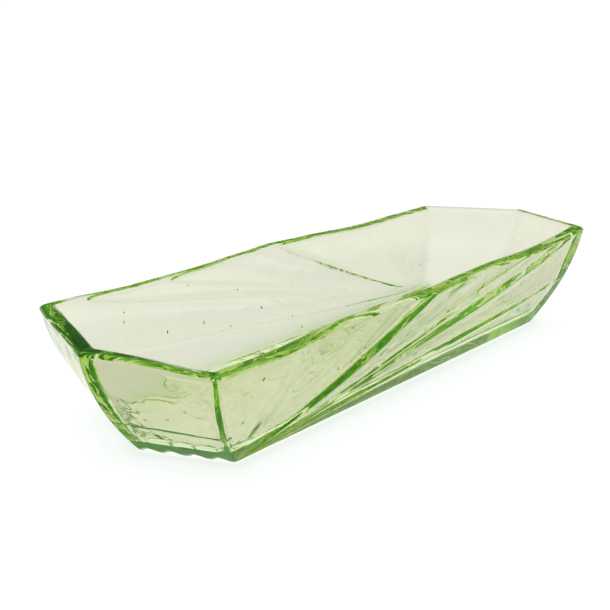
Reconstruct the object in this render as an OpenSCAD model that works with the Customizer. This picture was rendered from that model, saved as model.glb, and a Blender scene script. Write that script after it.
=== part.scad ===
// Pressed glass dish: a long six-sided bowl with flaring walls, pointed ends,
// a fan of rays on each long side and short flutes under both ends of its foot.
// It is one pressing. Millimetres, +Z up, origin at the bottom centre of the foot.

/* [Rim] */
// Length from tip to tip
length = 254; // [200:1:320]
// Width across the long sides
width = 83; // [66:1:110]
// How far each pointed end stands past its two corners
tip_reach = 17.5; // [10:0.5:26]
// Height of the rim at the two tips
height = 40.2; // [32:0.1:52]
// How much two opposite corners rise and the other two drop
corner_twist = 1.95; // [0:0.05:2.5]
// Radius of the two top edges of the rim
rim_round = 1.9; // [0.8:0.1:2.2]

/* [Foot] */
// How far the foot's tips lie inside the rim's tips
tip_flare = 22.1; // [16:0.1:28]
// How far the foot's corners lie inside the rim's corners, along the dish
corner_flare = 19.1; // [14:0.1:24]
// How far the foot's long edges lie inside the rim
side_flare = 12.5; // [9:0.1:16]
// How full the wall's curve is, from 0 for a straight wall
wall_curve = 0.7; // [0:0.05:0.9]

/* [Glass] */
// Thickness of the walls
wall = 5.7; // [4.5:0.1:7]
// Thickness of the floor
floor_t = 6; // [5:0.1:8]
// Fillet between the floor and the long sides
floor_fillet = 4; // [2:0.1:5]
// Height of the fillet between the floor and the pointed ends
end_fillet = 3.6; // [2:0.1:6]
// How far that fillet reaches in over the floor
end_run = 1.5; // [0.5:0.1:4]
// Length that rounding takes off each side of an upright outer edge
edge_round = 1.2; // [0.6:0.1:2]
// Length that rounding takes off each side of an upright inner corner
inner_round = 3; // [1.5:0.1:5]

/* [Flutes] */
// Number of flutes side by side under each end of the foot
flute_count = 8; // [6:1:12]
// Width of the flat land between two flutes
land_w = 0.8; // [0.5:0.1:2]
// Depth of a flute at the edge of the foot
flute_depth = 1.6; // [0.8:0.1:2]
// How far a flute runs in under the foot before it fades out
flute_run = 8; // [8:0.5:20]

/* [Rays] */
// Place of the first ray's end along the rim, as a share of the long side
ray_1_at = 0.5; // [0.4:0.01:0.6]
// Place of the second ray's end along the rim
ray_2_at = 0.81; // [0.72:0.01:0.88]
// Height of the fourth ray's end up the far corner, as a share of the wall
ray_4_at = 0.48; // [0.35:0.01:0.65]
// How far the wall swells outwards at the first ray
swell = 2.8; // [0:0.1:3.5]
// How far the wall draws in between the corner and the first ray
hollow = 1.5; // [0:0.1:2]
// Height of the crisp crest along each ray
crest = 0.6; // [0.2:0.05:1]

/* [Hidden] */

glass_green = [0.72, 0.84, 0.52, 0.6];

// Plan half sizes: corner x, corner y and tip x
rim_plan = [length / 2 - tip_reach, width / 2, length / 2];
foot_plan = [rim_plan[0] - corner_flare, rim_plan[1] - side_flare, rim_plan[2] - tip_flare];
foot_w = 2 * foot_plan[1];

// Mesh divisions
side_steps = 28;
end_steps = 6;
arc_steps = 3;
wall_steps = 10;
inner_steps = 7;

// The wave of the wall across the fan. The fan's places run from 0 at the near corner
// to 1 at the far corner along the rim, and on to 2 down the far corner's edge.
flat_end = 0.11;
flat_swell = 0.4;
fan_at = [0, flat_end, (flat_end + ray_1_at) / 2 - 0.035, ray_1_at, (ray_1_at + ray_2_at) / 2, ray_2_at, 1,
          2 - ray_4_at - 0.27, 2 - ray_4_at, 2 - ray_4_at / 2, 2];
fan_out = [0, flat_swell, -hollow, swell, -0.1, 0.25 * swell, 0.5, -0.7, 0.5, -0.5, 0];
crest_at = [ray_1_at, ray_2_at, 1, 2 - ray_4_at];
crest_share = [1, 0.5, 1, 0.8];
crest_w = 0.07;
window = 0.05;

// Height of the rim along a long side, over its height at the tips
rise_at = [0, 0.06, ray_1_at, ray_2_at, 1];
rise = [-corner_twist, -corner_twist, 0.3, -0.1, corner_twist];

function ease(u) = (1 - cos(180 * u)) / 2;

// Smooth curve through a row of stations
function through(at, val, x, i = 0) =
    (x <= at[i + 1] || i == len(at) - 2)
        ? val[i] + (val[i + 1] - val[i]) * ease((x - at[i]) / (at[i + 1] - at[i]))
        : through(at, val, x, i + 1);

// Share of the flare reached at share v of the wall's height
function flare(v) = v * (1 + wall_curve * (1 - v));

// Outer plan at share v of the wall's height
function plan(v) = foot_plan + (rim_plan - foot_plan) * flare(v);

// A plan moved inwards by w on its long sides and by e on its ends
function inset(p, w, e) =
    let (k = (p[2] - p[0]) / p[1], tip = p[2] - e * sqrt(1 + k * k), y = p[1] - w)
    [tip - k * y, y, tip];

// Place in the fan, and distance from its apex at the near corner of the foot
function fan_place(s, v) = s <= v ? (v == 0 ? 0 : s / v) : 2 - v / s;
function fan_reach(s, v) = max(s, v);
function fade(s) = min(1, (1 - s) / window, s / window + 0.2);

function swell_at(s, v) = fade(s) * fan_reach(s, v) * through(fan_at, fan_out, fan_place(s, v));
function crest_sum(f) =
    let (near = [for (i = [0:len(crest_at) - 1]) crest_share[i] * max(0, 1 - abs(f - crest_at[i]) / crest_w)])
    crest * max(near);
function crest_out(s, v) = fade(s) * fan_reach(s, v) * crest_sum(fan_place(s, v));

// Corners of a plan, anticlockwise from the near left one
function corners(p) = [[-p[0], -p[1]], [p[0], -p[1]], [p[2], 0], [p[0], p[1]], [-p[0], p[1]], [-p[2], 0]];

function unit(a) = a / norm(a);

// One column for each place round the plan: [side, share of the side, share of the corner's rounding]
columns = [for (i = [0:5]) each concat(
    [for (k = [0:arc_steps]) [i, 0, k / arc_steps]],
    [for (k = [1:(i % 3 == 0 ? side_steps : end_steps) - 1]) [i, k / (i % 3 == 0 ? side_steps : end_steps), -1]])];
column_count = len(columns);

// First column of the corner at each tip, and the column opposite another one across the dish
tip_column = column_count - end_steps - arc_steps;
far_tip_column = side_steps + 2 * arc_steps + end_steps;
function mirrored(i) = 2 * tip_column + arc_steps - i;

// Point of a plan at a column, with corners cut back by cut and rounded
function plan_point(p, cut, c) =
    let (q = corners(p), i = c[0], here = q[i], next = q[(i + 1) % 6], last = q[(i + 5) % 6],
         to_next = unit(next - here) * cut, to_last = unit(last - here) * cut, u = c[2])
    c[2] < 0
        ? here + to_next + (next - here - 2 * to_next) * c[1]
        : here + to_last * (1 - u) * (1 - u) + to_next * u * u;

function on_fan(c) = c[0] % 3 == 0 && c[2] < 0;
function outwards(c) = c[0] == 0 ? [0, -1] : [0, 1];

// Rim height over the tips' height: the long sides wave, the ends run straight
function rise_of(c) =
    let (i = c[0] % 3, s = c[2] < 0 ? c[1] : 0)
    i == 0 ? through(rise_at, rise, s) : i == 1 ? corner_twist * (1 - s) : -corner_twist * s;

function ring(p, cut, v, z_drop, crests) = [for (c = columns)
    let (xy = plan_point(p, cut, c), s = c[1],
         out = on_fan(c) ? swell_at(s, v) + crests * crest_out(s, v) : 0)
    concat(xy + outwards(c) * out, [v * (height + rise_of(c)) - z_drop])];

// How far a fillet of a height and a run has come in at z
function fillet_in(z, h, run) = z >= floor_t + h ? 0 : run * (1 - sqrt(1 - pow((floor_t + h - z) / h, 2)));

// The inside at z: wave and rise fade out towards the flat floor
function inner_ring(z) =
    let (v = z / height,
         p = inset(plan(v), wall + fillet_in(z, floor_fillet, floor_fillet), wall + fillet_in(z, end_fillet, end_run)),
         wave = min(1, (z - floor_t) / floor_fillet), lift = (z - floor_t) / (height - floor_t))
    [for (c = columns)
        concat(plan_point(p, inner_round, c) + outwards(c) * (on_fan(c) ? wave * swell_at(c[1], v) : 0),
            [z + lift * rise_of(c)])];

outer_rings = [for (j = [0:wall_steps]) let (v = (1 - rim_round / height) * j / wall_steps)
    ring(plan(v), edge_round, v, 0, 1)];
rim_rings = concat(
    [for (a = [30, 60, 90], w = rim_round * (1 - cos(a))) ring(inset(plan(1), w, w), edge_round,
        1, rim_round * (1 - sin(a)), 1 - a / 90)],
    [for (a = [90, 60, 30, 0], w = wall - rim_round * (1 - cos(a))) ring(inset(plan(1), w, w), inner_round,
        1, rim_round * (1 - sin(a)), 0)]);
inner_top = height - rim_round;
inner_low = floor_t + end_fillet;
inner_rings = [for (j = [1:inner_steps]) inner_ring(inner_top - (inner_top - inner_low) * j / inner_steps)];
fillet_rings = [for (a = [15:15:90]) inner_ring(floor_t + end_fillet * (1 - sin(a)))];
rings = concat(outer_rings, rim_rings, inner_rings, fillet_rings);

// Skin of quads cut into triangles over a stack of rings, closed by the foot and the floor
module skin(stack) {
    n = column_count;
    top = len(stack) - 1;
    sides = [for (j = [0:top - 1], i = [0:n - 1]) let (a = j * n + i, b = j * n + (i + 1) % n)
        each [[a, a + n, b], [b, a + n, b + n]]];
    // The foot is cut into strips across the dish, each between a column and its mirror image
    foot_strips = [for (i = [tip_column + 2 - n:far_tip_column])
        [for (k = [i, i + 1, mirrored(i + 1), mirrored(i)]) (k + n) % n]];
    floor_face = [for (i = [n - 1:-1:0]) top * n + i];
    polyhedron(points = [for (r = stack) each r], faces = concat(sides, foot_strips, [floor_face]), convexity = 6);
}

flute_pitch = foot_w / flute_count;
flute_w = flute_pitch - land_w;
flute_r = flute_w * flute_w / (8 * flute_depth) + flute_depth / 2;

// The foot's pointed edge at y, and the slope on which a flute climbs out through it
function foot_edge(y) = foot_plan[2] - (foot_plan[2] - foot_plan[0]) * abs(y) / foot_plan[1];
flute_slope = atan(flute_depth / flute_run);
flute_out = tip_flare / 2;

// Hollow flutes, deepest at the edge of the foot and fading out under it
module flutes() {
    for (turn = [0, 180], k = [0:flute_count - 1]) {
        y = (k + 0.5) * flute_pitch - foot_w / 2;
        rotate([0, 0, turn]) translate([foot_edge(y), y, flute_depth])
            rotate([0, -flute_slope, 0]) translate([-2 * flute_run, 0, -flute_r])
                rotate([0, 90, 0]) cylinder(r = flute_r, h = 2 * flute_run + flute_out, $fn = 48);
    }
}

// The whole dish
module dish() {
    color(glass_green) difference() {
        skin(rings);
        flutes();
    }
}

dish();
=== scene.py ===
# %% [markdown]
# # A pressed glass dish
# The dish is one pressing of clear yellow-green glass: a long six-sided bowl with flaring walls. The
# CAD model gives the frame, the sizes and the one part. Here that part gets a finer skin, which only
# a mesh can have: softly rounded corners, rays with crisp crests, flutes that run out through the
# ends, and the slight unevenness of hot glass. Then it gets its glass, a table and a studio's light.

# %% Load the frame
import math

import bmesh
import bpy
from mathutils import Matrix, Vector, noise


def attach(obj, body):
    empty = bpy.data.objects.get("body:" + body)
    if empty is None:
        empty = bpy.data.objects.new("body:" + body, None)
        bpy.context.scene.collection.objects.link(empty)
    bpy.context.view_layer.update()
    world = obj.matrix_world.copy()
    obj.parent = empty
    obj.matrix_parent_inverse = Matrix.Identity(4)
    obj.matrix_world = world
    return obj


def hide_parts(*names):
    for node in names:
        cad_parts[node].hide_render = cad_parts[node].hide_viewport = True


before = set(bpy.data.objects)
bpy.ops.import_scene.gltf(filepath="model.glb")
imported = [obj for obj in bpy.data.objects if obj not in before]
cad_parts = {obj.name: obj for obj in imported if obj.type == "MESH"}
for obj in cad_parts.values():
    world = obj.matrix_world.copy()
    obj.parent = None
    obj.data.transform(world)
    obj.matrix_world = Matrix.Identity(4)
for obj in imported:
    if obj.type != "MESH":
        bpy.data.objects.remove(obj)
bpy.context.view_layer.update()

# %% [markdown]
# ## Sizes
# The driving sizes repeat the CAD model's own, in metres. The plan of the dish at any height is three
# numbers: how far its four corners stand along and across, and how far its two tips reach. The walls
# flare along a full curve, so the plan at a share of the height follows from the foot's and the rim's.

# %% Sizes of the pressing
MM = 0.001
HEIGHT = 40.2 * MM
WALL = 5.7 * MM
FLOOR = 6.0 * MM
RIM_PLAN = (109.5 * MM, 41.5 * MM, 127.0 * MM)
FOOT_PLAN = (90.4 * MM, 29.0 * MM, 104.9 * MM)
WALL_CURVE = 0.7
TWIST = 1.95 * MM


def clamp(x, low=0.0, high=1.0):
    return min(high, max(low, x))


def flare(v):
    """Share of the walls' flare that is reached at share v of the height."""
    return v * (1 + WALL_CURVE * (1 - v))


def plan(v):
    """Outer plan at share v of the height: corner x, corner y and tip x."""
    return tuple(a + (b - a) * flare(v) for a, b in zip(FOOT_PLAN, RIM_PLAN))


def inset(p, side, end):
    """The same plan with its long sides moved in by side and its ends moved in by end."""
    slope = (p[2] - p[0]) / p[1]
    tip = p[2] - end * math.sqrt(1 + slope * slope)
    return (tip - slope * (p[1] - side), p[1] - side, tip)


print("plan at the foot, half way and the rim:", plan(0), plan(0.5), plan(1))

# %% [markdown]
# ## The stack of rings
# A smooth skin can be drawn as a stack of rings, as a mould maker would cut it: up the outside, over
# the rim, down the inside and across the floor. Each ring keeps its plan and height, and the length
# that its rounding takes off each corner. Corners are tight, inside and outside, because both mould
# and plunger were cut with crisp edges; only the rim and the edge of the foot are melted round. The
# inside of a long side ends in a fillet, and the inside of a pointed end in two small steps.

# %% Rings
OUTER_CUT, INNER_CUT = 0.7 * MM, 1.1 * MM
RIM_ROUND = 1.9 * MM
FOOT_ROUND = 1.0 * MM
SIDE_FILLET = 4.0 * MM
END_FILLET, END_RUN = 7.9 * MM, 1.3 * MM
# Shares of the height at which the outside has rings just above the rounded edge of the foot
LOW_STEPS = [0.035, 0.045, 0.055]
OUTER_STEPS, INNER_STEPS, ARC_STEPS, FILLET_STEPS, FOOT_STEPS = 24, 20, 6, 8, 4
# Each step of the inside of an end: share of the way down, and share of the way in
END_PROFILE = [(0.0, 0.0), (0.05, 0.28), (0.68, 0.40), (0.73, 0.66), (1.0, 1.0)]


def fillet_in(z, height, run):
    """How far the fillet of a long side has come in at z."""
    u = clamp((FLOOR + height - z) / height)
    return run * (1 - math.sqrt(1 - u * u))


def facets_in(z, height, run):
    """How far the faceted bottom of an end has come in at z."""
    u = clamp((FLOOR + height - z) / height)
    for (u0, w0), (u1, w1) in zip(END_PROFILE, END_PROFILE[1:]):
        if u <= u1:
            return run * (w0 + (w1 - w0) * (u - u0) / (u1 - u0))
    return run


def inner_plan(z):
    """Inner plan at height z."""
    side = WALL + fillet_in(z, SIDE_FILLET, SIDE_FILLET)
    end = WALL + facets_in(z, END_FILLET, END_RUN)
    return inset(plan(z / HEIGHT), side, end)


def stack_of_rings():
    """Plan, height and corner cut of each ring, from the foot's edge round to the floor's."""
    rings = []
    top = 1 - RIM_ROUND / HEIGHT
    for k in range(FOOT_STEPS + 1):
        a = math.pi / 2 * k / FOOT_STEPS
        z, w = FOOT_ROUND * (1 - math.cos(a)), FOOT_ROUND * (1 - math.sin(a))
        rings.append((inset(plan(z / HEIGHT), w, w), z, OUTER_CUT))
    for v in LOW_STEPS:
        rings.append((plan(v), v * HEIGHT, OUTER_CUT))
    for k in range(1, OUTER_STEPS + 1):
        v = LOW_STEPS[-1] + (top - LOW_STEPS[-1]) * k / OUTER_STEPS
        rings.append((plan(v), v * HEIGHT, OUTER_CUT))
    arc = [math.pi / 2 * k / ARC_STEPS for k in range(1, ARC_STEPS + 1)]
    for a in arc:
        w = RIM_ROUND * (1 - math.cos(a))
        rings.append((inset(plan(1), w, w), HEIGHT - RIM_ROUND * (1 - math.sin(a)), OUTER_CUT))
    for a in arc[::-1] + [0]:
        w = WALL - RIM_ROUND * (1 - math.cos(a))
        rings.append((inset(plan(1), w, w), HEIGHT - RIM_ROUND * (1 - math.sin(a)), INNER_CUT))
    low = FLOOR + SIDE_FILLET
    end_rows = [FLOOR + END_FILLET * (1 - u) for u, _ in END_PROFILE[:-1]]
    even = [top * HEIGHT + (low - top * HEIGHT) * k / INNER_STEPS for k in range(1, INNER_STEPS + 1)]
    for z in sorted(even + [z for z in end_rows if z >= low], reverse=True):
        rings.append((inner_plan(z), z, INNER_CUT))
    quarter = [math.pi / 2 * k / FILLET_STEPS for k in range(FILLET_STEPS + 1)]
    side_arc = [FLOOR + SIDE_FILLET * (1 - math.sin(a)) for a in quarter]
    for z in sorted(side_arc[1:] + [z for z in end_rows if z < low], reverse=True):
        rings.append((inner_plan(z), z, INNER_CUT))
    return rings


RINGS = stack_of_rings()
print(len(RINGS), "rings, from z", RINGS[0][1], "over", max(z for _, z, _ in RINGS), "to", RINGS[-1][1])

# %% [markdown]
# The cage starts from a circle of thirty points, five for each of the six corners. The circle is laid
# on the foot's plan, and then its edges are extruded again and again, and each new ring is moved to
# its own plan. Only the corners have points so far; the sides between them are single long edges.

# %% The cage
CORNER_POINTS = 5


def corners(p):
    """The six corners of a plan, anticlockwise from the near left one."""
    x, y, tip = p
    return [Vector(c) for c in ((-x, -y), (x, -y), (tip, 0), (x, y), (-x, y), (-tip, 0))]


def ring_points(p, z, cut):
    """The thirty points of a ring: each corner is cut back by cut and rounded."""
    six = corners(p)
    points = []
    for i, here in enumerate(six):
        to_last = (six[i - 1] - here).normalized() * cut
        to_next = (six[(i + 1) % 6] - here).normalized() * cut
        for k in range(CORNER_POINTS):
            u = k / (CORNER_POINTS - 1)
            spot = here + to_last * (1 - u) ** 2 + to_next * u ** 2
            points.append(Vector((spot.x, spot.y, z)))
    return points


def build_cage():
    """The skin as rings of thirty points, closed by the foot and by the floor."""
    bm = bmesh.new()
    place = bm.verts.layers.int.new("place")
    bmesh.ops.create_circle(bm, cap_ends=True, segments=6 * CORNER_POINTS, radius=1)
    bm.verts.ensure_lookup_table()
    for k, (vert, spot) in enumerate(zip(bm.verts, ring_points(*RINGS[0]))):
        vert[place] = k
        vert.co = spot
    edges = list(bm.edges)
    for ring in RINGS[1:]:
        made = bmesh.ops.extrude_edge_only(bm, edges=edges)["geom"]
        spots = ring_points(*ring)
        made_verts = {g for g in made if isinstance(g, bmesh.types.BMVert)}
        for vert in made_verts:
            vert.co = spots[vert[place]]
        edges = [g for g in made if isinstance(g, bmesh.types.BMEdge) and set(g.verts) <= made_verts]
    bmesh.ops.contextual_create(bm, geom=edges)
    bmesh.ops.recalc_face_normals(bm, faces=bm.faces)
    return bm, place


dish_bm, place_layer = build_cage()
print("cage:", len(dish_bm.verts), "points and", len(dish_bm.faces), "faces")

# %% [markdown]
# The long edges of the sides and the ends are divided, so that a side can be given a wave and an end
# can be given its slight crown. Both ends of such an edge belong to two neighbouring corners.

# %% Divide the sides and the ends
SIDE_CUTS, END_CUTS = 109, 31


def joins(edge, corner_pairs):
    """True for an edge that runs between two corners that are named in corner_pairs."""
    ends = {vert[place_layer] // CORNER_POINTS for vert in edge.verts}
    return len(ends) == 2 and ends in corner_pairs


long_edges = [e for e in dish_bm.edges if joins(e, [{0, 1}, {3, 4}])]
end_edges = [e for e in dish_bm.edges if joins(e, [{1, 2}, {2, 3}, {4, 5}, {5, 0}])]
bmesh.ops.subdivide_edges(dish_bm, edges=long_edges, cuts=SIDE_CUTS, use_grid_fill=True)
bmesh.ops.subdivide_edges(dish_bm, edges=end_edges, cuts=END_CUTS, use_grid_fill=True)
print("divided:", len(long_edges), "long and", len(end_edges), "end edges,", len(dish_bm.faces), "faces")

# %% [markdown]
# ## The fan of rays
# The rays fan out over each long side from one lower corner. Seen from the front each is a straight
# line from that corner to a point on the rim or on the far upright edge. Cutting the skin along
# planes through the corner puts rows of points on and beside every crest, so that the crest stays
# crisp when it is lifted. A ray is named by its place: 0 to 1 along the rim, 1 to 2 down the far edge.

# %% Cut the skin along the rays
# Cuts across a ray, in widths of its steep face, and how much wider they are spread
CUT_SHIFTS = (-1, -0.8, -0.6, -0.4, -0.2, -0.08, 0, 0.08, 0.3, 1, 2)
CUT_SPREAD = 1.6
# A face that faces this far sideways is wall, and a cut takes a point this near in metres as its own
WALL_FACES, CUT_SNAP = 0.5, 1e-6
RAY_1_AT, RAY_2_AT, RAY_4_AT = 0.5, 0.81, 0.48
APEX_X = -FOOT_PLAN[0]
RIM_LEFT, RIM_LONG = -RIM_PLAN[0], 2 * RIM_PLAN[0]
FAR_FOOT, FAR_RUN = 2 * FOOT_PLAN[0], RIM_PLAN[0] - FOOT_PLAN[0]


def fan(x, z):
    """Place in the fan and reach from the apex, as a share of the ray's length."""
    run = x - APEX_X
    if z <= 0:
        return 2.0, clamp(run / FAR_FOOT)
    share = (APEX_X + run * HEIGHT / z - RIM_LEFT) / RIM_LONG
    if share <= 1:
        return max(share, 0.0), z / HEIGHT
    slope = z / run
    up = FAR_FOOT * slope / (HEIGHT - FAR_RUN * slope)
    return 2 - up, run / (FAR_FOOT + FAR_RUN * up)


def ray_end(place):
    """Point where a ray ends, measured from the apex: along and up."""
    if place <= 1:
        return RIM_LEFT + RIM_LONG * place - APEX_X, HEIGHT
    up = 2 - place
    return FAR_FOOT + FAR_RUN * up, HEIGHT * up


# Place, widest steep face in mm, where it is widest, and its slope in degrees, for each ray
RAYS = [(RAY_1_AT, 3.2, 0.55, 17), (RAY_2_AT, 1.5, 0.75, 19), (1.0, 3.6, 0.6, 22),
        (2 - RAY_4_AT, 2.0, 0.6, 20)]
# Width of the other face of a crest, in widths of its steep face
BACK = 1.1


def wall_faces(side):
    """Faces of the outer wall on the long side that is given by its sign."""
    out = []
    for face in dish_bm.faces:
        c = face.calc_center_median()
        if c.y * side > 0 and face.normal.y * side > WALL_FACES and abs(c.x) < RIM_PLAN[0]:
            out.append(face)
    return out


def cut(faces, spot, square_to):
    """Cut faces along the plane through spot that is square to a direction."""
    geom = list({v for f in faces for v in f.verts}) + list({e for f in faces for e in f.edges}) + faces
    bmesh.ops.bisect_plane(dish_bm, geom=geom, dist=CUT_SNAP, plane_co=spot, plane_no=square_to)


for side in (-1, 1):
    for place, width, _, _ in RAYS:
        along, up = ray_end(place)
        for shift in CUT_SHIFTS:
            tilt = math.atan2(up, along) - shift * width * MM / math.hypot(along, up) * CUT_SPREAD
            cut(wall_faces(side), (-side * APEX_X, 0, 0), (-math.sin(tilt), 0, -side * math.cos(tilt)))
print("cut along the rays:", len(dish_bm.faces), "faces")

# %% [markdown]
# ## The flutes
# Eight short round flutes lie side by side under each pointed end. Each is deepest at the edge of the
# foot, where it runs out through the sloping end as a scallop, and it fades out under the foot. The
# foot is cut along the flutes and along lines beside its ends, so that it can follow their hollows.

# %% Cut the foot for the flutes
FLUTES = 8
LAND = 0.8 * MM
FLUTE_DEPTH, FLUTE_RUN = 1.6 * MM, 8.0 * MM
# The flutes notch the walls up to this height at most
FLUTE_TOP = 2.6 * MM
PITCH = 2 * FOOT_PLAN[1] / FLUTES
HALF_FLUTE = (PITCH - LAND) / 2
FLUTE_R = HALF_FLUTE ** 2 / (2 * FLUTE_DEPTH) + FLUTE_DEPTH / 2
# Cuts across a flute in half widths, and cuts across the foot's ends as shares of the flutes' run
FLUTE_SIDES = (-1, -0.75, -0.5, -0.25, 0, 0.25, 0.5, 0.75, 1)
FLUTE_FADE = (0.06, 0.15, 0.3, 0.5, 0.75, 1.0)
FOOT_FACES = -0.9
END_SLOPE = (FOOT_PLAN[2] - FOOT_PLAN[0]) / FOOT_PLAN[1]


def scoop(x, y):
    """Height of the flutes' surface at a point."""
    middle = (math.floor((y + FOOT_PLAN[1]) / PITCH) + 0.5) * PITCH - FOOT_PLAN[1]
    off = abs(y - middle)
    if abs(y) > FOOT_PLAN[1] or off >= FLUTE_R:
        return 0.0
    edge = FOOT_PLAN[2] - END_SLOPE * abs(middle)
    deepest = FLUTE_DEPTH * (1 + (abs(x) - edge) / FLUTE_RUN)
    return deepest - (FLUTE_R - math.sqrt(FLUTE_R ** 2 - off ** 2))


def low_faces():
    """Faces of the foot and of the lowest part of the walls."""
    return [f for f in dish_bm.faces if all(v.co.z < FLUTE_TOP for v in f.verts)]


for k in range(FLUTES):
    middle = (k + 0.5) * PITCH - FOOT_PLAN[1]
    for step in FLUTE_SIDES:
        cut(low_faces(), (0, middle + HALF_FLUTE * step, 0), (0, 1, 0))
for end in (-1, 1):
    for side in (-1, 1):
        for step in FLUTE_FADE:
            foot = [f for f in low_faces()
                    if f.normal.z < FOOT_FACES and f.calc_center_median().y * side > 0]
            cut(foot, (end * (FOOT_PLAN[2] - FLUTE_RUN * step), 0, 0), (end, side * END_SLOPE, 0))
print("cut for the flutes:", len(dish_bm.faces), "faces")

# %% [markdown]
# ## Shape the skin
# The long walls swell out where the first ray meets the rim and draw in between the corner and that
# ray, on the inside as well, because the pressing has an even wall. The rim rises to two opposite
# corners and drops to the other two.

# %% Waves and rises
# Places in the fan, and how far in mm the wall stands out there at the far end of a ray
WAVE_AT = [0, 0.11, 0.27, 0.42, RAY_1_AT, 0.58, 0.69, RAY_2_AT, 0.92, 1, 1.25, 2 - RAY_4_AT, 1.76, 2]
WAVE_OUT = [0, 0.4, -1.5, 0.7, 2.4, 1.2, 0.0, 0.7, 0.6, 0.0, -0.6, 0.2, -0.3, 0]
# Places along the rim, and how far in mm it rises there
RISE_AT = [0, 0.06, RAY_1_AT, RAY_2_AT, 1]
RISE = [-1.95, -1.95, 0.3, -0.1, 1.95]


def through(at, values, x):
    """Smooth curve through a row of stations."""
    for k in range(len(at) - 1):
        if x <= at[k + 1] or k == len(at) - 2:
            u = clamp((x - at[k]) / (at[k + 1] - at[k]))
            return values[k] + (values[k + 1] - values[k]) * (1 - math.cos(math.pi * u)) / 2


print("the wall stands from", min(WAVE_OUT), "to", max(WAVE_OUT), "mm out, the rim from",
      min(RISE), "to", max(RISE), "mm up")

# %% [markdown]
# Only the outside gets the crests: narrow roofs that are widest part of the way along their ray. Their
# upper faces trap the light inside the wall, and that is what makes a ray read as a dark green band.

# %% Crests
# Width that a crest has left at its far end, and where it stops, as shares
LEFT_AT_END, CREST_STOPS = 0.3, 1.05


def crest(x, z):
    """How far the crests stand out at a point of the front, in metres."""
    run, best = x - APEX_X, 0.0
    for place, width, widest, steep in RAYS:
        along, up = ray_end(place)
        long = math.hypot(along, up)
        t = (run * along + z * up) / long ** 2
        above = (z * along - run * up) / long
        if not 0 < t < CREST_STOPS:
            continue
        share = t / widest
        if t > widest:
            share = max(LEFT_AT_END, 1 - (1 - LEFT_AT_END) * (t - widest) / (1 - widest))
        face = width * share * MM
        tall = face * math.tan(math.radians(steep))
        best = max(best, tall * (1 - above / face if above > 0 else 1 + above / (BACK * face)))
    return best


print("tallest crest:", round(max(w * math.tan(math.radians(deg)) for _, w, _, deg in RAYS), 2), "mm")

# %% [markdown]
# Now every point is moved. Beside the waves, crests and rises, one end of the rim is slightly crowned
# and one corner leans out. Hot glass shrinks unevenly as it sets, so the skin also gets a slow
# unevenness of a third of a millimetre, which is less on the outside.

# %% Move every point
END_CROWN = 1.0
UNEVEN, UNEVEN_PER_METRE, UNEVEN_OUTSIDE = 0.35 * MM, 42.0, 0.35
# How far the corner leans, how far round it the lean reaches, and the height share where it is full
LEAN, LEAN_REACH, LEAN_FROM = 1.8 * MM, 45.0 * MM, 0.3
# Shares of a side over which waves and crests fade at its ends, and the wave left at the apex
FADE, EDGE_FADE, WAVE_AT_APEX = 0.04, 0.02, 0.2


def shaped(co):
    """Where a point of the plain cage goes."""
    side = -1 if co.y < 0 else 1
    x = co.x * -side
    v = min(1.0, co.z / HEIGHT)
    corner_x, corner_y, tip_x = plan(v)
    s = clamp((x + corner_x) / (2 * corner_x))
    outer = clamp((abs(co.y) - corner_y + WALL) / WALL)
    inside = outer < 0.5
    lift = clamp((co.z - FLOOR) / (HEIGHT - FLOOR)) if inside else v
    y = co.y
    if abs(x) < corner_x:
        place, reach = fan(x, co.z)
        fade = min(1.0, (1 - s) / FADE, s / FADE + WAVE_AT_APEX)
        low = clamp((co.z - FLOOR) / SIDE_FILLET) if inside else 1.0
        edge = clamp((1 - s) / EDGE_FADE) * clamp(s / EDGE_FADE)
        swell = low * fade * reach * through(WAVE_AT, WAVE_OUT, place) * MM
        y += side * (swell + edge * outer * crest(x, co.z))
        rise = through(RISE_AT, RISE, s)
    else:
        t = clamp((abs(x) - corner_x) / (tip_x - corner_x))
        rise = (TWIST if x > 0 else -TWIST) / MM * (1 - t)
        if co.x < 0 and co.y < 0:
            rise += END_CROWN * 4 * t * (1 - t)
    wave = noise.noise(co * UNEVEN_PER_METRE) * UNEVEN * (1.0 if inside else UNEVEN_OUTSIDE)
    wave *= clamp((co.z - FLOOR) / SIDE_FILLET) if inside else clamp(co.z / SIDE_FILLET)
    y += side * wave
    x = co.x + (math.copysign(wave, co.x) if abs(co.x) > FOOT_PLAN[0] else 0.0)
    near = clamp(1 - math.hypot(co.x + RIM_PLAN[0], co.y - RIM_PLAN[1]) / LEAN_REACH)
    x -= LEAN * (1 - math.cos(math.pi * near)) / 2 * clamp(v / LEAN_FROM)
    z = co.z + rise * MM * lift
    if z < FLUTE_TOP:
        z = max(z, scoop(co.x, co.y))
    return Vector((x, y, z))


for vert in dish_bm.verts:
    vert.co = shaped(vert.co)
print("highest point:", max(v.co.z for v in dish_bm.verts), "widest:", max(v.co.y for v in dish_bm.verts))

# %% [markdown]
# The skin is closed, and shaded smooth except along its crisp edges, which stay crisp. It takes the
# place of the CAD model's one part.

# %% Finish the skin
SHARP = math.radians(24)
SPECK = 2e-6
bmesh.ops.dissolve_degenerate(dish_bm, dist=SPECK, edges=dish_bm.edges)
for face in dish_bm.faces:
    face.smooth = True
for edge in dish_bm.edges:
    edge.smooth = len(edge.link_faces) == 2 and edge.calc_face_angle(0) < SHARP
open_edges = [e for e in dish_bm.edges if not e.is_manifold]
print("skin:", len(dish_bm.faces), "faces,", len(open_edges), "open edges,",
      round(dish_bm.calc_volume() * 1e6, 1), "cm3")
dish_mesh = bpy.data.meshes.new("glass_dish")
dish_bm.to_mesh(dish_mesh)
dish_bm.free()
dish = bpy.data.objects.new("glass_dish", dish_mesh)
bpy.context.scene.collection.objects.link(dish)
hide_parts("dish")
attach(dish, "root")

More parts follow.
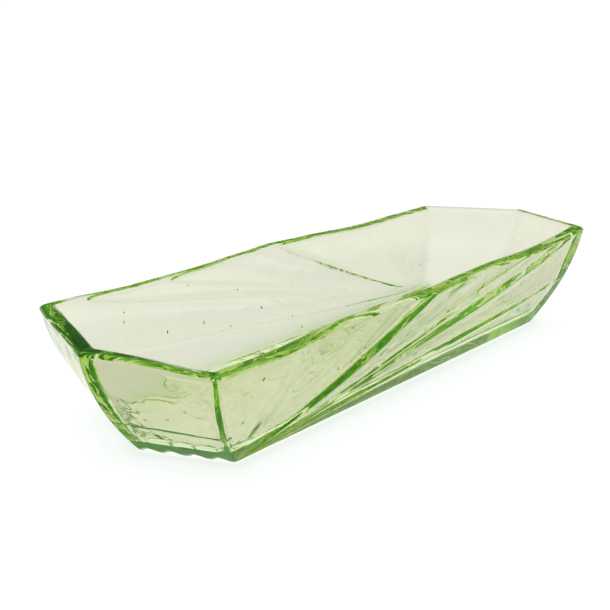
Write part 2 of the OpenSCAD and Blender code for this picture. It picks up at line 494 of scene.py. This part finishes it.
# %% [markdown]
# ## The glass
# Uranium glass is a soda glass with a little uranium oxide, which takes out some violet and red light
# and glows faintly green in daylight. Through a thin wall it is nearly clear; where light has run far
# inside it, along a rim or up a corner, it is deep green. So the colour is in the body of the glass,
# as absorption. Its skin only has a faint even grey, and a green glow that is partly the faint real
# glow and partly painted light, which fills the deep greens where rays are trapped inside the glass.
#
# The skin of a pressing is never quite even, because it froze against an iron mould. One node group
# makes its marks and those of use, and these are its inputs.

# %% Inputs of the skin's marks
SKIN = {"Swirls per Metre": 55.0, "Swirl Depth": 0.5, "Seeds per Metre": 160.0, "Seed Share": 0.2,
        "Seed Depth": 0.4, "Scratch Depth": 0.006, "Scratch Share": 0.24, "Scratch Roughness": 0.15}


def node(tree, kind, inputs=None, **settings):
    """Add a node. Each of its inputs can be given a value or another node's output."""
    made = tree.nodes.new(kind)
    for name, value in settings.items():
        setattr(made, name, value)
    for name, value in (inputs or {}).items():
        if isinstance(value, bpy.types.NodeSocket):
            tree.links.new(value, made.inputs[name])
        else:
            made.inputs[name].default_value = value
    return made


def maths(tree, operation, *values):
    """Add a maths node and give its output."""
    return node(tree, "ShaderNodeMath", dict(enumerate(values)), operation=operation).outputs[0]


skin = bpy.data.node_groups.new("pressed_skin", "ShaderNodeTree")
for name, value in SKIN.items():
    skin.interface.new_socket(name, in_out="INPUT", socket_type="NodeSocketFloat").default_value = value
for name in ("Height", "Roughness"):
    skin.interface.new_socket(name, in_out="OUTPUT", socket_type="NodeSocketFloat")
given = node(skin, "NodeGroupInput").outputs
print("skin group takes:", ", ".join(SKIN))

# %% [markdown]
# The marks are slow swirls, raised seeds over small bubbles, and hair scratches along the dish. The
# group gives a height for the bump, and a roughness for the scratches.

# %% Swirls, seeds and scratches
SWIRL_DETAIL, SWIRL_BEND = 1.5, 1.2
SCRATCH_TURN = (0.3, 0.5, 0.4)
SCRATCH_STRETCH = (60, 2200, 2200)
SEED_RADIUS = 0.12

place_on_dish = node(skin, "ShaderNodeTexCoord").outputs["Object"]

swirl = node(skin, "ShaderNodeTexNoise", {"Vector": place_on_dish, "Scale": given["Swirls per Metre"],
                                          "Detail": SWIRL_DETAIL, "Distortion": SWIRL_BEND})
swirls = maths(skin, "MULTIPLY", swirl.outputs["Fac"], given["Swirl Depth"])

cells = node(skin, "ShaderNodeTexVoronoi", {"Vector": place_on_dish, "Scale": given["Seeds per Metre"]})
lottery = node(skin, "ShaderNodeSeparateColor", {0: cells.outputs["Color"]}).outputs[0]
chosen = maths(skin, "LESS_THAN", lottery, given["Seed Share"])
cone = maths(skin, "SUBTRACT", 1.0, maths(skin, "MINIMUM", 1.0, maths(
    skin, "DIVIDE", cells.outputs["Distance"], SEED_RADIUS)))
seeds = maths(skin, "MULTIPLY", maths(skin, "MULTIPLY", chosen, cone), given["Seed Depth"])

along_dish = node(skin, "ShaderNodeMapping", {"Vector": place_on_dish, "Rotation": SCRATCH_TURN,
                                              "Scale": SCRATCH_STRETCH}).outputs[0]
hairs = node(skin, "ShaderNodeTexNoise", {"Vector": along_dish, "Scale": 1.0, "Detail": 0.0})
scratched = maths(skin, "LESS_THAN", hairs.outputs["Fac"], given["Scratch Share"])
scratches = maths(skin, "MULTIPLY", scratched, given["Scratch Depth"])

height = maths(skin, "SUBTRACT", maths(skin, "ADD", swirls, seeds), scratches)
dull = maths(skin, "MULTIPLY", scratched, given["Scratch Roughness"])
node(skin, "NodeGroupOutput", {"Height": height, "Roughness": dull})
print("skin group:", len(skin.nodes), "nodes")

# %% Glass
# GLASS_GREY dims all light through the skin evenly, a little more in green and blue
GLASS_GREY = (0.80, 0.765, 0.76, 1)
GLASS_IOR = 1.51
SHEEN_OF_SKIN = (0.5, 0.7, 0.3, 1)
# GLOW is partly the glass's faint real glow and partly painted light, lighting rays trapped inside the
# glass
GLOW, GLOW_STRENGTH = (0.36, 1.0, 0.08, 1), 0.018
BODY_COLOUR, BODY_DENSITY = (0.55, 0.745, 0.0, 1), 36
BUMP_DISTANCE = 1 * MM

glass = bpy.data.materials.new("green_glass")
glass.use_nodes = True
tree = glass.node_tree
shader = tree.nodes["Principled BSDF"]
shader.inputs["Base Color"].default_value = GLASS_GREY
shader.inputs["Transmission Weight"].default_value = 1
shader.inputs["IOR"].default_value = GLASS_IOR
shader.inputs["Specular Tint"].default_value = SHEEN_OF_SKIN
shader.inputs["Emission Color"].default_value = GLOW
shader.inputs["Emission Strength"].default_value = GLOW_STRENGTH
marks = node(tree, "ShaderNodeGroup", node_tree=skin)
bump = node(tree, "ShaderNodeBump", {"Height": marks.outputs["Height"], "Distance": BUMP_DISTANCE})
tree.links.new(bump.outputs["Normal"], shader.inputs["Normal"])
tree.links.new(marks.outputs["Roughness"], shader.inputs["Roughness"])
body = node(tree, "ShaderNodeVolumeAbsorption", {"Color": BODY_COLOUR, "Density": BODY_DENSITY})
tree.links.new(body.outputs["Volume"], tree.nodes["Material Output"].inputs["Volume"])
dish.data.materials.append(glass)
print("glass: light lost per metre in red, green and blue:",
      [round((1 - c) * BODY_DENSITY, 1) for c in BODY_COLOUR[:3]])

# %% [markdown]
# ## The table
# The dish stands on white paper that runs on out of sight. Glass gathers light on the paper under it,
# and colours the light faintly green along the edge of its foot. That light is painted on the paper
# itself, by its distance from the foot's outline, because it is slow to find by following rays: a
# painted pool of light under the dish, a painted green shadow just past the foot, and soft painted
# bands of light and shade further out.

# %% White paper
PAPER_SIZE, PAPER_GAP = 6.0, 0.02 * MM
PAPER_WHITE, PAPER_ROUGHNESS = (0.2, 0.2, 0.2, 1), 0.9
# The ramp starts this far in from the outline, and is this long, in metres
UNDER, SPAN = 0.02, 0.25
# Distance from the foot's outline in metres, and the paper's painted light and shade there
PAPER_LIGHT = [(-0.02, (1.25, 1.25, 1.25)), (-0.003, (1.15, 1.18, 1.12)), (0.001, (0.74, 0.79, 0.74)),
               (0.006, (0.82, 0.86, 0.84)), (0.02, (0.88, 0.88, 0.88)), (0.055, (0.84, 0.84, 0.84)),
               (0.105, (0.95, 0.95, 0.95)), (0.2, (0.88, 0.88, 0.88))]


def ramp(tree, height, stops):
    """A colour ramp from a list of positions and colours, with its input and output."""
    made = node(tree, "ShaderNodeValToRGB", {0: height})
    elements = made.color_ramp.elements
    elements[0].position, elements[0].color = stops[0][0], (*stops[0][1], 1)
    elements[1].position, elements[1].color = stops[-1][0], (*stops[-1][1], 1)
    for position, colour in stops[1:-1]:
        elements.new(position).color = (*colour, 1)
    return made.outputs["Color"]


paper_bm = bmesh.new()
bmesh.ops.create_grid(paper_bm, x_segments=1, y_segments=1, size=PAPER_SIZE)
paper_mesh = bpy.data.meshes.new("paper")
paper_bm.to_mesh(paper_mesh)
paper_bm.free()
paper = bpy.data.objects.new("paper", paper_mesh)
paper.location.z = -PAPER_GAP
bpy.context.scene.collection.objects.link(paper)

white = bpy.data.materials.new("white_paper")
white.use_nodes = True
tree = white.node_tree
on_paper = node(tree, "ShaderNodeTexCoord").outputs["Object"]
folded = node(tree, "ShaderNodeVectorMath", {0: on_paper}, operation="ABSOLUTE").outputs[0]
spot = node(tree, "ShaderNodeSeparateXYZ", {0: folded}).outputs
beside = maths(tree, "SUBTRACT", spot["Y"], FOOT_PLAN[1])
slant = maths(tree, "ADD", spot["X"], maths(tree, "MULTIPLY", spot["Y"], END_SLOPE))
beyond = maths(tree, "DIVIDE", maths(tree, "SUBTRACT", slant, FOOT_PLAN[2]), math.hypot(1, END_SLOPE))
distance = maths(tree, "MAXIMUM", beside, beyond)
share = maths(tree, "DIVIDE", maths(tree, "ADD", distance, UNDER), SPAN)
light = ramp(tree, share, [((at + UNDER) / SPAN, colour) for at, colour in PAPER_LIGHT])
shader = tree.nodes["Principled BSDF"]
shader.inputs["Base Color"].default_value = PAPER_WHITE
shader.inputs["Roughness"].default_value = PAPER_ROUGHNESS
shader.inputs["Specular IOR Level"].default_value = 0
# The paper's emission carries the painted pool of light, the painted shadow at the foot and the painted
# bands
shader.inputs["Emission Strength"].default_value = 1
tree.links.new(light, shader.inputs["Emission Color"])
paper.data.materials.append(white)
print("paper:", PAPER_SIZE * 2, "m wide, lit in", len(PAPER_LIGHT), "steps")

# %% [markdown]
# ## The light
# The light is a plain studio: a white ceiling, a white horizon, and darker walls between them. The
# dark walls are what a clear thing needs to be seen at all. The rim and the corners mirror them or
# carry them inside, and so they stand out in deep green against the white.

# %% Studio
# Sine of the height above the horizon, and brightness
STUDIO_LIGHT = [(0.0, 1.0), (0.06, 1.0), (0.2, 0.25), (0.58, 0.25), (0.75, 1.5), (1.0, 1.6)]

world = bpy.data.worlds.new("studio")
bpy.context.scene.world = world
world.use_nodes = True
tree = world.node_tree
looking = node(tree, "ShaderNodeTexCoord").outputs["Generated"]
upward = node(tree, "ShaderNodeSeparateXYZ", {0: looking}).outputs["Z"]
sky = ramp(tree, upward, [(at, (level,) * 3) for at, level in STUDIO_LIGHT])
tree.links.new(sky, tree.nodes["Background"].inputs["Color"])
print("studio:", STUDIO_LIGHT)

# %% [markdown]
# ## The camera
# The camera looks down a little at the dish from beyond one pointed end, so that the long side with
# its fan of rays runs away from it. A slight contrast curve deepens the darkest greens.

# %% Camera
LENS, SENSOR = 63.94, 36
STANDS_AT = (-0.309, -0.24825, 0.157)
TURN, DOWN, ROLL = (math.radians(a) for a in (41.12, -18.59, 0.64))
# Brightness before and after, at each point of the contrast curve
CONTRAST = ((0.1, 0.065), (0.25, 0.23), (0.5, 0.5))
BOUNCES, MIRROR_BOUNCES = 48, 24

camera_data = bpy.data.cameras.new("camera")
camera_data.sensor_width = SENSOR
camera_data.lens = LENS
camera = bpy.data.objects.new("camera", camera_data)
bpy.context.scene.collection.objects.link(camera)
ahead = Vector((math.cos(DOWN) * math.cos(TURN), math.cos(DOWN) * math.sin(TURN), math.sin(DOWN)))
level = ahead.cross(Vector((0, 0, 1))).normalized()
above = level.cross(ahead)
right = level * math.cos(ROLL) + above * math.sin(ROLL)
up = above * math.cos(ROLL) - level * math.sin(ROLL)
frame_of_view = Matrix((right, up, -ahead)).transposed().to_4x4()
camera.matrix_world = Matrix.Translation(Vector(STANDS_AT)) @ frame_of_view
bpy.context.scene.camera = camera

view = bpy.context.scene.view_settings
view.view_transform = "Standard"
view.use_curve_mapping = True
for dark, deeper in CONTRAST:
    view.curve_mapping.curves[3].points.new(dark, deeper)
view.curve_mapping.update()
cycles = bpy.context.scene.cycles
cycles.max_bounces = cycles.transmission_bounces = BOUNCES
cycles.glossy_bounces = MIRROR_BOUNCES
print("camera stands at", STANDS_AT, "and light is followed for", BOUNCES, "bounces")
